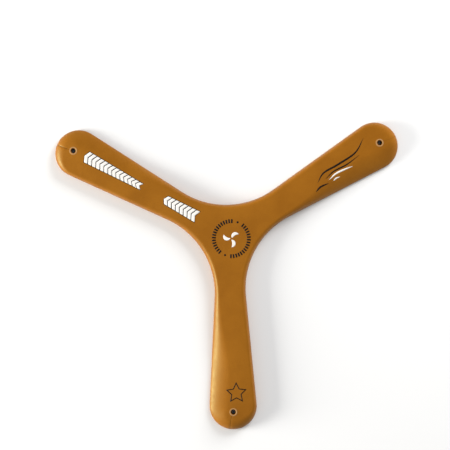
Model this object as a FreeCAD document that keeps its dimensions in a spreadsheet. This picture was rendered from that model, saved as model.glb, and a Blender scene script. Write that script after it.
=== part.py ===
import FreeCAD, Part
import math
import os
import Sketcher

# A soft three-blade boomerang: a foam moulding over a flexible core, printed on its top face.
# Millimetres, +Z up, underside on z = 0, hub centre at the origin, arms at -90, 30 and 150 degrees.
# The top face rolls down to the edge: steeply along each arm's leading edge, which is the
# counter-clockwise one, and slowly along its trailing edge, as on any right-handed boomerang.

Vector = FreeCAD.Vector
doc = FreeCAD.newDocument("boomerang")

# ---------------------------------------------------------------- driving dimensions
SIZES = {
    "tip_reach": 160.0,         # hub centre to the end of an arm
    "tip_round": 19.3,          # radius of an arm's rounded end
    "web_reach": 25.0,          # hub centre to the nearest edge, half way between two arms
    "web_round": 67.0,          # radius of the hollow curve between two arms
    "body_thick": 10.0,         # underside to flat top
    "under_round": 1.6,         # rounding of the underside's edge
    "rim_foot": 2.2,            # height at which the top's roll-off would stand upright
    "rim_overlap": 0.15,        # how far that upright lies outside the outline
    "rim_lift": 0.04,           # how far the roll-off's crest lies above the flat top
    "rim_web": 3.9,             # roll-off width round the hub
    "rim_tip_trail": 15.4,      # ... where a trailing edge meets the rounded end
    "rim_end": 8.4,             # ... at the very end of an arm
    "rim_tip_lead": 3.2,        # ... where the rounded end meets the leading edge
    "rim_end_hold": 0.3,        # share of the way round to there that keeps the end's width
    "swell_start": 38.0,        # distance out along an arm where its trailing roll-off widens
    "swell_end": 122.0,         # ... and where it has its full width
    "pin_inset": 14.7,          # end of an arm to its pin hole
    "pin_hole": 3.6,            # diameter of the pin hole
    "lip_wide": 1.3,            # width of the sunk lip round the pin hole's top
    "lip_deep": 0.7,            # its depth
    "core_thick": 1.2,          # thickness of the core
    "core_lift": 4.3,           # underside of the body to underside of the core
    "core_hub": 34.0,           # diameter of the core's hub
    "core_arm": 12.0,           # width of the core's arms
    "core_eye": 15.0,           # diameter of the eye at the end of each core arm
    "lock_hole": 5.0,           # diameter of the holes that the foam grips through
    "lock_hub": 11.0,           # hub centre to the lock holes in the core's hub
    "lock_first": 36.0,         # hub centre to the first lock hole in a core arm
    "lock_pitch": 22.0,         # from one lock hole to the next
    "ink_thick": 0.1,           # thickness of a printed film
    "near_row_start": 31.0,     # hub centre to the inner row of white marks
    "far_row_inset": 25.2,      # end of the arm to the end of the outer row
    "row_space": 20.0,          # least bare stretch between the two rows
    "mark_pitch": 3.7,          # from one white mark to the next
    "mark_gap": 0.8,            # gap between white marks
    "mark_sweep": 2.2,          # how far a mark's middle leads its two ends
    "mark_tall": 9.6,           # height of the marks at both ends of the arm
    "mark_short": 5.2,          # height that marks in its middle would have
    "mark_aside": 0.8,          # how far the marks lie towards the trailing edge
    "keyline": 0.45,            # dark border round the marks
    "star_inset": 30.4,         # end of the arm to the star's centre
    "star_aside": 2.8,          # how far the star lies towards the leading edge
    "star_point": 9.0,          # star's centre to its points
    "star_notch": 4.45,         # star's centre to its notches
    "star_line": 0.75,          # width of the star's line
    "seal_right": 2.0,          # hub centre to the centre of the printed seal, along X
    "seal_down": 2.9,           # ... and towards -Y
    "seal_radius": 16.0,        # outer radius of the seal's ring of bars
    "bar_long": 3.2,            # length of one bar
    "bar_wide": 1.3,            # width of one bar
    "dot_wide": 1.7,            # diameter of the two dots between the bars
    "vane_reach": 7.0,          # length of a pinwheel vane
    "vane_wide": 3.4,           # width of a pinwheel vane
}
ARM_ANGLES = (-90, 30, 150)     # star arm, stroke arm and marked arm

sheet = doc.addObject("Spreadsheet::Sheet", "Sizes")
for row, (alias, value) in enumerate(SIZES.items(), start=1):
    sheet.set(f"A{row}", alias)
    sheet.set(f"B{row}", str(value))
    sheet.setAlias(f"B{row}", alias)
doc.recompute()


def size(alias):
    """The number that a cell of the sheet holds."""
    return float(sheet.get(alias))


# ---------------------------------------------------------------- helpers
def pin_reach():
    """Hub centre to the pin hole through each arm."""
    return size("tip_reach") - size("pin_inset")


def polar(reach, degrees):
    """The point at a distance and a bearing from the hub centre."""
    turn = math.radians(degrees)
    return Vector(reach * math.cos(turn), reach * math.sin(turn), 0)


def bearing(point, centre):
    """The angle of a point seen from a centre, in radians."""
    return math.atan2(point.y - centre.y, point.x - centre.x)


def new_body(name):
    body = doc.addObject("PartDesign::Body", name)
    body.Label = name
    return body


def sketch_in(body, name, role="XY_Plane", place=FreeCAD.Placement()):
    """A sketch on one of the body's own origin planes, moved by a placement."""
    sketch = body.newObject("Sketcher::SketchObject", name)
    base = next(item for item in body.Origin.OriginFeatures if item.Role == role)
    sketch.AttachmentSupport = [(base, "")]
    sketch.MapMode = "FlatFace"
    sketch.AttachmentOffset = place
    return sketch


def bound(sketch, name, formula, *constraint):
    """Add a dimension to a sketch and tie it to the sheet."""
    index = sketch.addConstraint(Sketcher.Constraint(*constraint))
    sketch.renameConstraint(index, name)
    sketch.setExpression(f"Constraints.{name}", formula)


def fix_point(sketch, name, element, formulas, point):
    """Give one point of a sketch its place from the sketch's origin."""
    origin = (-1, 1)
    for kind, formula, value in zip(("DistanceX", "DistanceY"), formulas, (point.x, point.y)):
        if abs(value) < 1e-6:
            axis = -2 if kind == "DistanceX" else -1
            sketch.addConstraint(Sketcher.Constraint("PointOnObject", *element, axis))
        elif value > 0:
            bound(sketch, f"{name}_{kind}", formula, kind, *origin, *element, value)
        else:
            bound(sketch, f"{name}_{kind}", f"-({formula})", kind, *element, *origin, -value)


def fix_centre(sketch, name, arc, reach_formula, reach, degrees):
    """Set an arc's centre at a distance and a bearing from the hub centre."""
    formulas = (f"({reach_formula}) * cos({degrees})", f"({reach_formula}) * sin({degrees})")
    fix_point(sketch, name, (arc, 3), formulas, polar(reach, degrees))


def joined(sketch, first, second):
    """Join the end of one element to the start of another, smoothly."""
    sketch.addConstraint(Sketcher.Constraint("Tangent", *first, *second))


# ---------------------------------------------------------------- the outline of one arm
def arm_points(degrees):
    """Centres and tangent points of the arcs that bound the arm at this bearing."""
    tip_round = size("tip_round")
    web_round = size("web_round")
    tip = polar(size("tip_reach") - tip_round, degrees)
    points = {"tip": tip}
    for name, side in (("trail", -1), ("lead", 1)):
        web = polar(size("web_reach") + web_round, degrees + side * 60)
        away = web - tip
        swing = math.acos((tip_round + web_round) / away.Length)
        turn = math.atan2(away.y, away.x) - side * swing
        normal = Vector(math.cos(turn), math.sin(turn), 0)
        points[f"{name}_web"] = web
        points[f"{name}_tip"] = tip + normal * tip_round
        points[f"{name}_root"] = web - normal * web_round
    return points


def arc_between(centre, radius, start, end):
    """A counter-clockwise arc about a centre, from one point's bearing to another's."""
    first = bearing(start, centre)
    last = bearing(end, centre)
    if last <= first:
        last += 2 * math.pi
    return Part.ArcOfCircle(Part.Circle(centre, Vector(0, 0, 1), radius), first, last)


TIP_REACH = "Sizes.tip_reach - Sizes.tip_round"
WEB_REACH = "Sizes.web_reach + Sizes.web_round"
PIN_REACH = "Sizes.tip_reach - Sizes.pin_inset"
START, END = 1, 2               # the sketcher's numbers for an element's two ends


def add_tip(sketch, degrees):
    """The two straight sides and the rounded end of an arm, joined and dimensioned."""
    at = arm_points(degrees)
    trail = sketch.addGeometry(Part.LineSegment(at["trail_root"], at["trail_tip"]))
    tip_arc = arc_between(at["tip"], size("tip_round"), at["trail_tip"], at["lead_tip"])
    tip = sketch.addGeometry(tip_arc)
    lead = sketch.addGeometry(Part.LineSegment(at["lead_tip"], at["lead_root"]))
    joined(sketch, (trail, END), (tip, START))
    joined(sketch, (tip, END), (lead, START))
    name = f"arm{len(sketch.Geometry)}"
    bound(sketch, f"{name}_round", "Sizes.tip_round", "Radius", tip, size("tip_round"))
    tip_centre = size("tip_reach") - size("tip_round")
    fix_centre(sketch, name, tip, TIP_REACH, tip_centre, degrees)
    return trail, lead


def add_web(sketch, centre, start, end, degrees):
    """A hollow arc of the outline, its centre outside it at this bearing."""
    web = sketch.addGeometry(arc_between(centre, size("web_round"), start, end))
    name = f"web{web}"
    bound(sketch, f"{name}_round", "Sizes.web_round", "Radius", web, size("web_round"))
    fix_centre(sketch, name, web, WEB_REACH, size("web_reach") + size("web_round"), degrees)
    return web


def draw_outline(sketch):
    """The closed outline: three arms and the three hollow curves between them."""
    sides = [add_tip(sketch, degrees) for degrees in ARM_ANGLES]
    for number, degrees in enumerate(ARM_ANGLES):
        this_lead = sides[number][1]
        next_number = (number + 1) % len(ARM_ANGLES)
        next_trail = sides[next_number][0]
        here = arm_points(degrees)
        there = arm_points(ARM_ANGLES[next_number])
        web = add_web(sketch, here["lead_web"], there["trail_root"], here["lead_root"], degrees + 60)
        joined(sketch, (this_lead, END), (web, END))
        joined(sketch, (web, START), (next_trail, START))


def draw_rim_path(sketch, degrees):
    """The edge of one arm's third of the outline, from the middle of a web to the next."""
    at = arm_points(degrees)
    trail, lead = add_tip(sketch, degrees)
    web_reach = size("web_reach")
    start = polar(web_reach, degrees - 60)
    end = polar(web_reach, degrees + 60)
    web_in = add_web(sketch, at["trail_web"], at["trail_root"], start, degrees - 60)
    web_out = add_web(sketch, at["lead_web"], end, at["lead_root"], degrees + 60)
    joined(sketch, (web_in, START), (trail, START))
    joined(sketch, (lead, END), (web_out, END))
    half = "Sizes.web_reach * cos(30)"
    bound(sketch, "path_start", half, "DistanceX", web_in, END, -1, 1, -start.x)
    bound(sketch, "path_end", half, "DistanceX", -1, 1, web_out, START, end.x)


# ---------------------------------------------------------------- the foam body
def eased(low, high, share):
    """A value between two others, level at both ends."""
    share = min(max(share, 0.0), 1.0)
    return low + (high - low) * (3 - 2 * share) * share ** 2


def stations(degrees):
    """Places round one arm where the roll-off's width is set: point, inward direction, width."""
    at = arm_points(degrees)
    web_width = size("rim_web")
    trail_width = size("rim_tip_trail")
    lead_width = size("rim_tip_lead")
    outward = polar(1.0, degrees)
    places = []

    def trailing(point, share):
        swell = (point.dot(outward) - size("swell_start")) / (size("swell_end") - size("swell_start"))
        return eased(web_width, trail_width, swell)

    def to_end(point, share):
        return eased(trail_width, size("rim_end"), share)

    def to_lead(point, share):
        end_hold = size("rim_end_hold")
        return eased(size("rim_end"), lead_width, (share - end_hold) / (1 - end_hold))

    def leading(point, share):
        return lead_width + share * (web_width - lead_width)

    def along_arc(centre, start, end, into, width_at, shares):
        spoke = start - centre
        swing = math.degrees(bearing(end, centre) - bearing(start, centre))
        swing = (swing + 180) % 360 - 180
        for share in shares:
            turned = FreeCAD.Rotation(Vector(0, 0, 1), swing * share).multVec(spoke)
            point = centre + turned
            places.append((point, turned.normalize() * into, width_at(point, share)))

    def along_side(start, end, inward, width_at, shares):
        for share in shares:
            point = start + (end - start) * share
            places.append((point, inward, width_at(point, share)))

    web_start = polar(size("web_reach"), degrees - 60)
    web_end = polar(size("web_reach"), degrees + 60)
    apex = polar(size("tip_reach"), degrees)
    trail_inward = (at["tip"] - at["trail_tip"]).normalize()
    lead_inward = (at["tip"] - at["lead_tip"]).normalize()
    halves = (0, 1 / 2)
    thirds = (0, 1 / 3, 2 / 3)
    fifths = (0, 1 / 5, 2 / 5, 3 / 5, 4 / 5)
    along_arc(at["trail_web"], web_start, at["trail_root"], 1, trailing, halves)
    along_side(at["trail_root"], at["trail_tip"], trail_inward, trailing, fifths)
    along_arc(at["tip"], at["trail_tip"], apex, -1, to_end, thirds)
    along_arc(at["tip"], apex, at["lead_tip"], -1, to_lead, thirds)
    along_side(at["lead_tip"], at["lead_root"], lead_inward, leading, thirds)
    along_arc(at["lead_web"], at["lead_root"], web_end, 1, lambda point, share: web_width, halves + (1,))
    return places


RIM_ROOF = 2.0                  # how far the roll-off's cutter reaches above the body
RIM_OUTSIDE = 3.0               # ... and outside it


def draw_rim_section(sketch, width):
    """The space above the roll-off: a quarter ellipse below, a square corner above."""
    overlap = size("rim_overlap")
    foot = size("rim_foot")
    crest = size("body_thick") + size("rim_lift")
    roof = crest + RIM_ROOF
    outside = -RIM_OUTSIDE
    centre = Vector(width, foot, 0)
    half_wide = width + overlap
    half_high = crest - foot
    if half_wide > half_high:
        ellipse = Part.Ellipse(centre + Vector(half_wide, 0, 0), centre + Vector(0, half_high, 0), centre)
        turn = math.pi / 2
        level = "Horizontal"
    else:
        ellipse = Part.Ellipse(centre + Vector(0, half_high, 0), centre - Vector(half_wide, 0, 0), centre)
        turn = 0.0
        level = "Vertical"
    curve = sketch.addGeometry(Part.ArcOfEllipse(ellipse, turn, turn + math.pi / 2))
    corners = [
        Vector(-overlap, foot, 0), Vector(outside, foot, 0), Vector(outside, roof, 0),
        Vector(width, roof, 0), Vector(width, crest, 0),
    ]
    lines = [sketch.addGeometry(Part.LineSegment(a, b)) for a, b in zip(corners, corners[1:])]
    chain = [(curve, END)] + [(line, END) for line in lines]
    starts = [(line, START) for line in lines] + [(curve, START)]
    for one, other in zip(chain, starts):
        sketch.addConstraint(Sketcher.Constraint("Coincident", *one, *other))
    for line, kind in zip(lines, ("Horizontal", "Vertical", "Horizontal", "Vertical")):
        sketch.addConstraint(Sketcher.Constraint(kind, line))
    sketch.exposeInternalGeometry(curve)
    major_axis = curve + len(lines) + 1
    sketch.addConstraint(Sketcher.Constraint(level, major_axis))
    sketch.addConstraint(Sketcher.Constraint("Vertical", curve, START, curve, 3))
    sketch.addConstraint(Sketcher.Constraint("Horizontal", curve, END, curve, 3))
    origin = (-1, 1)
    sketch.addConstraint(Sketcher.Constraint("DistanceX", *origin, curve, 3, width))
    bound(sketch, "foot", "Sizes.rim_foot", "DistanceY", *origin, curve, 3, foot)
    bound(sketch, "overlap", "Sizes.rim_overlap", "DistanceX", curve, END, *origin, overlap)
    crest_formula = "Sizes.body_thick + Sizes.rim_lift"
    bound(sketch, "crest", crest_formula, "DistanceY", *origin, curve, START, crest)
    bound(sketch, "roof", f"{crest_formula} + {RIM_ROOF}", "DistanceY", *origin, lines[1], END, roof)
    sketch.addConstraint(Sketcher.Constraint("DistanceX", lines[1], END, *origin, -outside))


HOLE_CLEAR = 1.0                # how far the pin hole's cutter reaches past the body


def draw_pin_hole(sketch):
    """Half the outline of a pin hole and its sunk lip, about the sketch's upright axis."""
    radius = size("pin_hole") / 2
    top = size("body_thick")
    lip_radius = radius + size("lip_wide")
    lip_foot = top - size("lip_deep")
    points = [
        Vector(0, -HOLE_CLEAR, 0), Vector(radius, -HOLE_CLEAR, 0), Vector(radius, lip_foot, 0),
        Vector(lip_radius, top, 0), Vector(lip_radius, top + HOLE_CLEAR, 0),
        Vector(0, top + HOLE_CLEAR, 0),
    ]
    sides = []
    for first, last in zip(points, points[1:] + points[:1]):
        sides.append(sketch.addGeometry(Part.LineSegment(first, last)))
    for one, other in zip(sides, sides[1:] + sides[:1]):
        sketch.addConstraint(Sketcher.Constraint("Coincident", one, END, other, START))
    for side, kind in zip(sides, ("Horizontal", "Vertical", None, "Vertical", "Horizontal", "Vertical")):
        if kind:
            sketch.addConstraint(Sketcher.Constraint(kind, side))
    origin = (-1, 1)
    sketch.addConstraint(Sketcher.Constraint("PointOnObject", sides[0], START, -2))
    sketch.addConstraint(Sketcher.Constraint("DistanceY", sides[0], START, *origin, HOLE_CLEAR))
    bound(sketch, "radius", "Sizes.pin_hole / 2", "DistanceX", *origin, sides[1], END, radius)
    lip_formula = "Sizes.body_thick - Sizes.lip_deep"
    bound(sketch, "lip_foot", lip_formula, "DistanceY", *origin, sides[1], END, lip_foot)
    lip_radius_formula = "Sizes.pin_hole / 2 + Sizes.lip_wide"
    bound(sketch, "lip_radius", lip_radius_formula, "DistanceX", *origin, sides[2], END, lip_radius)
    bound(sketch, "top", "Sizes.body_thick", "DistanceY", *origin, sides[2], END, top)
    clear_formula = f"Sizes.body_thick + {HOLE_CLEAR}"
    bound(sketch, "clear", clear_formula, "DistanceY", *origin, sides[4], END, top + HOLE_CLEAR)


def make_foam_blank():
    """The moulding's outer form, with its roll-off and its three pin holes."""
    body = new_body("foam_blank")
    outline = sketch_in(body, "outline")
    draw_outline(outline)
    pad = body.newObject("PartDesign::Pad", "slab")
    pad.Profile = outline
    pad.setExpression("Length", "Sizes.body_thick")
    doc.recompute()

    rounding = body.newObject("PartDesign::Fillet", "under_rounding")
    low_edges = [
        f"Edge{number}" for number, edge in enumerate(pad.Shape.Edges, start=1)
        if edge.BoundBox.ZMax < size("body_thick") / 2
    ]
    rounding.Base = (pad, low_edges)
    rounding.setExpression("Radius", "Sizes.under_round")
    doc.recompute()

    first_arm = ARM_ANGLES[0]
    path = sketch_in(body, "rim_path")
    draw_rim_path(path, first_arm)
    sections = []
    for number, (point, inward, width) in enumerate(stations(first_arm)):
        up = Vector(0, 0, 1)
        place = FreeCAD.Placement(point, FreeCAD.Rotation(inward, up, inward.cross(up), "XYZ"))
        section = sketch_in(body, f"rim_section{number}", place=place)
        draw_rim_section(section, width)
        sections.append(section)

    rim = body.newObject("PartDesign::SubtractivePipe", "rim")
    rim.Profile = sections[0]
    rim.Sections = [(section, "") for section in sections[1:]]
    rim.Spine = (path, [f"Edge{number + 1}" for number in range(len(path.Shape.Edges))])
    rim.Transformation = "Multisection"
    rim.Mode = "Binormal"
    rim.Binormal = Vector(0, 0, 1)
    doc.recompute()

    hole_sketch = sketch_in(body, "pin_hole_profile", "YZ_Plane")
    hole_sketch.setExpression("AttachmentOffset.Base.x", f"-({PIN_REACH})")
    draw_pin_hole(hole_sketch)
    hole = body.newObject("PartDesign::Groove", "pin_hole")
    hole.Profile = hole_sketch
    hole.ReferenceAxis = (hole_sketch, ["V_Axis"])
    hole.Angle = 360
    doc.recompute()

    arms = body.newObject("PartDesign::PolarPattern", "three_arms")
    arms.Originals = [rim, hole]
    arms.Axis = (outline, ["N_Axis"])
    arms.Angle = 360
    arms.Occurrences = len(ARM_ANGLES)
    body.Tip = arms
    doc.recompute()
    return body


# ---------------------------------------------------------------- the core
def draw_circle(sketch, name, diameter_formula, diameter, centre=Vector(), centre_formula=None):
    """A dimensioned circle on the sketch's X axis or at its origin."""
    circle = sketch.addGeometry(Part.Circle(centre, Vector(0, 0, 1), diameter / 2))
    bound(sketch, f"{name}_dia", diameter_formula, "Diameter", circle, diameter)
    fix_point(sketch, name, (circle, 3), (centre_formula, None), centre)


def draw_strip(sketch):
    """A core arm: a straight strip from the hub centre to the pin hole, along the X axis."""
    half = size("core_arm") / 2
    reach = pin_reach()
    corners = [Vector(0, -half, 0), Vector(reach, -half, 0), Vector(reach, half, 0), Vector(0, half, 0)]
    sides = []
    for first, last in zip(corners, corners[1:] + corners[:1]):
        sides.append(sketch.addGeometry(Part.LineSegment(first, last)))
    for one, other in zip(sides, sides[1:] + sides[:1]):
        sketch.addConstraint(Sketcher.Constraint("Coincident", one, END, other, START))
    for side, kind in zip(sides, ("Horizontal", "Vertical", "Horizontal", "Vertical")):
        sketch.addConstraint(Sketcher.Constraint(kind, side))
    origin = (-1, 1)
    sketch.addConstraint(Sketcher.Constraint("PointOnObject", sides[0], START, -2))
    bound(sketch, "low", "Sizes.core_arm / 2", "DistanceY", sides[0], START, *origin, half)
    bound(sketch, "high", "Sizes.core_arm / 2", "DistanceY", *origin, sides[1], END, half)
    bound(sketch, "reach", PIN_REACH, "DistanceX", *origin, sides[0], END, reach)


def add_pad(body, name, sketch):
    pad = body.newObject("PartDesign::Pad", name)
    pad.Profile = sketch
    pad.setExpression("Length", "Sizes.core_thick")
    return pad


def add_pocket(body, name, sketch):
    """Cut right through the core, upwards from its underside."""
    pocket = body.newObject("PartDesign::Pocket", name)
    pocket.Profile = sketch
    pocket.Reversed = True
    pocket.setExpression("Length", "Sizes.core_thick")
    return pocket


def make_core():
    """The flexible spider inside the foam: a hub, three arms, eyes and lock holes."""
    body = new_body("stiffening_core")

    def core_sketch(name):
        sketch = sketch_in(body, name)
        sketch.setExpression("AttachmentOffset.Base.z", "Sizes.core_lift")
        sketch.AttachmentOffset.Rotation = FreeCAD.Rotation(Vector(0, 0, 1), ARM_ANGLES[0])
        return sketch

    hub = core_sketch("hub_outline")
    draw_circle(hub, "hub", "Sizes.core_hub", size("core_hub"))
    add_pad(body, "hub", hub)

    strip = core_sketch("arm_outline")
    draw_strip(strip)
    arm = add_pad(body, "arm", strip)

    eye_outline = core_sketch("eye_outline")
    pin_centre = Vector(pin_reach(), 0, 0)
    draw_circle(eye_outline, "eye", "Sizes.core_eye", size("core_eye"), pin_centre, PIN_REACH)
    eye = add_pad(body, "eye", eye_outline)

    pin = core_sketch("pin_outline")
    draw_circle(pin, "pin", "Sizes.pin_hole", size("pin_hole"), pin_centre, PIN_REACH)
    doc.recompute()
    pin_hole = add_pocket(body, "pin_hole_in_core", pin)

    locks = core_sketch("lock_outline")
    places = [("hub_lock", size("lock_hub"), "Sizes.lock_hub")]
    reach = size("lock_first")
    count = 0
    while reach + size("lock_hole") < pin_reach() - size("core_eye") / 2:
        formula = f"Sizes.lock_first + {count} * Sizes.lock_pitch"
        places.append((f"arm_lock{count}", reach, formula))
        reach += size("lock_pitch")
        count += 1
    for name, reach, formula in places:
        draw_circle(locks, name, "Sizes.lock_hole", size("lock_hole"), Vector(reach, 0, 0), formula)
    lock_holes = add_pocket(body, "lock_holes", locks)

    arms = body.newObject("PartDesign::PolarPattern", "three_core_arms")
    arms.Originals = [arm, eye, pin_hole, lock_holes]
    arms.Axis = (hub, ["N_Axis"])
    arms.Angle = 360
    arms.Occurrences = len(ARM_ANGLES)
    body.Tip = arms
    doc.recompute()
    return body


# ---------------------------------------------------------------- the printed films
PRINT_DEPTH = 3.0               # how far below the flat top the print cutters reach
PRINT_CLEAR = 1.0               # ... and above it


def print_sketch(name, degrees=0.0, shift=Vector()):
    """A sketch just under the top face, its X axis along the arm at this bearing."""
    sketch = doc.addObject("Sketcher::SketchObject", name)
    sketch.Placement = FreeCAD.Placement(shift, FreeCAD.Rotation(Vector(0, 0, 1), degrees))
    sketch.setExpression("Placement.Base.z", f"Sizes.body_thick - {PRINT_DEPTH}")
    return sketch


def add_loop(sketch, points):
    """A closed outline of straight lines."""
    lines = []
    for first, last in zip(points, points[1:] + points[:1]):
        lines.append(sketch.addGeometry(Part.LineSegment(first, last)))
    for one, other in zip(lines, lines[1:] + lines[:1]):
        sketch.addConstraint(Sketcher.Constraint("Coincident", one, END, other, START))


def add_film(name, sketch, blank, raised):
    """A thin film on the top face: the sketch's outline, wrapped over the roll-off."""
    cutter = doc.addObject("Part::Extrusion", f"{name}_cutter")
    cutter.Base = sketch
    cutter.DirMode = "Normal"
    cutter.Solid = True
    cutter.FaceMakerClass = "Part::FaceMakerBullseye"
    cutter.LengthFwd = PRINT_DEPTH + PRINT_CLEAR
    stamped = doc.addObject("Part::Common", f"{name}_stamped")
    stamped.Base = raised
    stamped.Tool = cutter
    film = doc.addObject("Part::Cut", name)
    film.Base = stamped
    film.Tool = blank
    film.Label = name
    return film


NEAR_MARKS = 8                  # white marks in the inner row


def mark_rows():
    """The two rows of white marks: where each starts and how many marks it has."""
    pitch = size("mark_pitch")
    near_start = size("near_row_start")
    near_end = near_start + NEAR_MARKS * pitch
    far_end = size("tip_reach") - size("far_row_inset")
    count = int((far_end - near_end - size("row_space")) / pitch)
    return (near_start, NEAR_MARKS), (far_end - count * pitch, count)


def mark_half_height(reach):
    """Half the height of a white mark: tall near the hub and the tip, short between."""
    near = size("near_row_start")
    half_span = (size("tip_reach") - size("far_row_inset") - near) / 2
    share = abs(reach - near - half_span) / half_span
    return (size("mark_short") + share * (size("mark_tall") - size("mark_short"))) / 2


def chevron(start, end, border=0.0):
    """A block between two places along the arm, bent so that its middle points outwards."""
    aside = -size("mark_aside")
    half_sweep = size("mark_sweep") / 2
    near_half = mark_half_height(start) + border
    far_half = mark_half_height(end) + border
    profile = [
        (start - border + half_sweep, 0), (start - border - half_sweep, -near_half),
        (end + border - half_sweep, -far_half), (end + border + half_sweep, 0),
        (end + border - half_sweep, far_half), (start - border - half_sweep, near_half),
    ]
    return [Vector(along, aside + up, 0) for along, up in profile]


def draw_marks(sketch):
    """Both rows of white marks."""
    for start, count in mark_rows():
        for number in range(count):
            reach = start + number * size("mark_pitch")
            add_loop(sketch, chevron(reach, reach + size("mark_pitch") - size("mark_gap")))


def draw_keyline(sketch):
    """The dark border of both rows: each row's outer outline, with its marks left out."""
    for start, count in mark_rows():
        end = start + count * size("mark_pitch") - size("mark_gap")
        add_loop(sketch, chevron(start, end, size("keyline")))
    draw_marks(sketch)


STROKE_STEPS = 8                # points along each edge of a stroke, less one
FULLNESS = 0.75                 # below 1, a stroke keeps its width for longer
# Each stroke: points along it (inwards from the end of the arm, and towards its leading edge)
# and its greatest width.
BLACK_STROKES = (
    (((75.5, -1.6), (67.0, 2.9), (53.0, 2.7), (36.0, 3.6), (24.0, 10.4)), 1.6),
    (((68.5, -2.3), (59.0, -0.3), (47.0, -1.1), (34.0, 0.2)), 1.2),
    (((80.5, -7.2), (75.0, -5.6), (67.5, -6.6)), 1.5),
)
WHITE_STROKES = (
    (((66.0, -4.3), (59.0, -2.9), (51.5, -3.5), (43.5, -4.9)), 1.5),
    (((63.5, -6.9), (60.5, -6.2), (57.0, -6.8)), 1.1),
)


def add_stroke(sketch, points, widest):
    """A brush stroke along a smooth line, widest in its middle and pointed at both ends."""
    line = Part.BSplineCurve()
    line.interpolate([Vector(size("tip_reach") - inset, aside, 0) for inset, aside in points])
    for side in (1, -1):
        edge = []
        for step in range(STROKE_STEPS + 1):
            share = step / STROKE_STEPS
            where = line.FirstParameter + share * (line.LastParameter - line.FirstParameter)
            along = line.tangent(where)[0]
            across = Vector(-along.y, along.x, 0)
            swell = side * widest / 2 * abs(math.sin(math.pi * share)) ** FULLNESS
            edge.append(line.value(where) + across * swell)
        curve = Part.BSplineCurve()
        curve.interpolate(edge)
        sketch.addGeometry(curve)


def star_points(scale):
    """A five-pointed star's corners, one point towards the hub."""
    centre = Vector(size("tip_reach") - size("star_inset"), size("star_aside"), 0)
    corners = []
    for number in range(10):
        radius = size("star_notch") if number % 2 else size("star_point")
        corners.append(centre + polar(radius * scale, 180 + number * 36))
    return corners


def draw_star(sketch):
    """A star drawn as a line: its outline, and the same outline a line's width smaller."""
    point = size("star_point")
    notch = size("star_notch")
    side = math.sqrt(point ** 2 + notch ** 2 - 2 * point * notch * math.cos(math.radians(36)))
    side_distance = point * notch * math.sin(math.radians(36)) / side
    add_loop(sketch, star_points(1.0))
    add_loop(sketch, star_points(1.0 - size("star_line") / side_distance))


SEAL_TURN = 67.5                # bearing of one of the seal's two dots
BARS_EACH_SIDE = 17
BAR_STEP = 8.8                  # degrees from one bar to the next


def draw_seal_ring(sketch):
    """Two arcs of short bars with a dot between them at each end."""
    outer = size("seal_radius")
    inner = outer - size("bar_long")
    half = size("bar_wide") / 2
    for side in (0, 180):
        dot_centre = polar((outer + inner) / 2, SEAL_TURN + side)
        sketch.addGeometry(Part.Circle(dot_centre, Vector(0, 0, 1), size("dot_wide") / 2))
        for number in range(BARS_EACH_SIDE):
            turn = SEAL_TURN + side + 90 + (number - (BARS_EACH_SIDE - 1) / 2) * BAR_STEP
            across = polar(half, turn + 90)
            add_loop(sketch, [
                polar(inner, turn) - across, polar(outer, turn) - across,
                polar(outer, turn) + across, polar(inner, turn) + across,
            ])


VANE_ROOT = 0.12                # where a vane starts, as a share of its reach
VANE_HOLLOW = 0.2               # how far its hollow side bulges, as a share of its width


def draw_pinwheel(sketch):
    """Three curved vanes, each between two arcs."""
    reach = size("vane_reach")
    wide = size("vane_wide")
    root = VANE_ROOT * reach
    for turn in ARM_ANGLES:
        start = polar(root, turn)
        end = polar(reach, turn)
        middle = (start + end) * 0.5
        aside = polar(1.0, turn + 90)
        sketch.addGeometry(Part.Arc(start, middle + aside * (VANE_HOLLOW * wide), end))
        sketch.addGeometry(Part.Arc(end, middle + aside * wide, start))


def make_prints(blank):
    """All the films, each its own piece."""
    raised = doc.addObject("Part::Compound", "raised_blank")
    raised.Links = [blank]
    raised.setExpression("Placement.Base.z", "Sizes.ink_thick")
    star_arm, stroke_arm, marked_arm = ARM_ANGLES
    seal = Vector(size("seal_right"), -size("seal_down"), 0)
    films = []
    for name, degrees, shift, draw in (
        ("white_arm_marks", marked_arm, Vector(), draw_marks),
        ("mark_keyline", marked_arm, Vector(), draw_keyline),
        ("star_outline", star_arm, Vector(), draw_star),
        ("hub_bar_ring", 0, seal, draw_seal_ring),
        ("hub_pinwheel", 0, seal, draw_pinwheel),
    ):
        sketch = print_sketch(f"{name}_outline", degrees, shift)
        draw(sketch)
        films.append(add_film(name, sketch, blank, raised))
    for name, strokes in (("black_flow_strokes", BLACK_STROKES), ("white_flow_strokes", WHITE_STROKES)):
        sketch = print_sketch(f"{name}_outline", stroke_arm)
        for points, widest in strokes:
            add_stroke(sketch, points, widest)
        films.append(add_film(name, sketch, blank, raised))
    doc.recompute()
    return films


# ---------------------------------------------------------------- build, check and write
blank = make_foam_blank()
core = make_core()
foam = doc.addObject("Part::Cut", "foam_body")
foam.Label = "foam_body"
foam.Base = blank
foam.Tool = core
films = make_prints(blank)
doc.recompute()

for item in doc.Objects:
    if "Invalid" in item.State or "Error" in item.State:
        raise RuntimeError(f"{item.Name} failed: {item.State}")

os.makedirs("parts", exist_ok=True)
for node in [foam, core] + films:
    shape = node.Shape
    if shape.isNull() or not shape.isValid() or not shape.Solids:
        raise RuntimeError(f"{node.Label} has no sound shape")
    shape.exportStep(f"parts/{node.Label}.step")
    print(f"{node.Label}: {len(shape.Solids)} solids, {shape.Volume / 1000:.3f} cm3")
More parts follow.
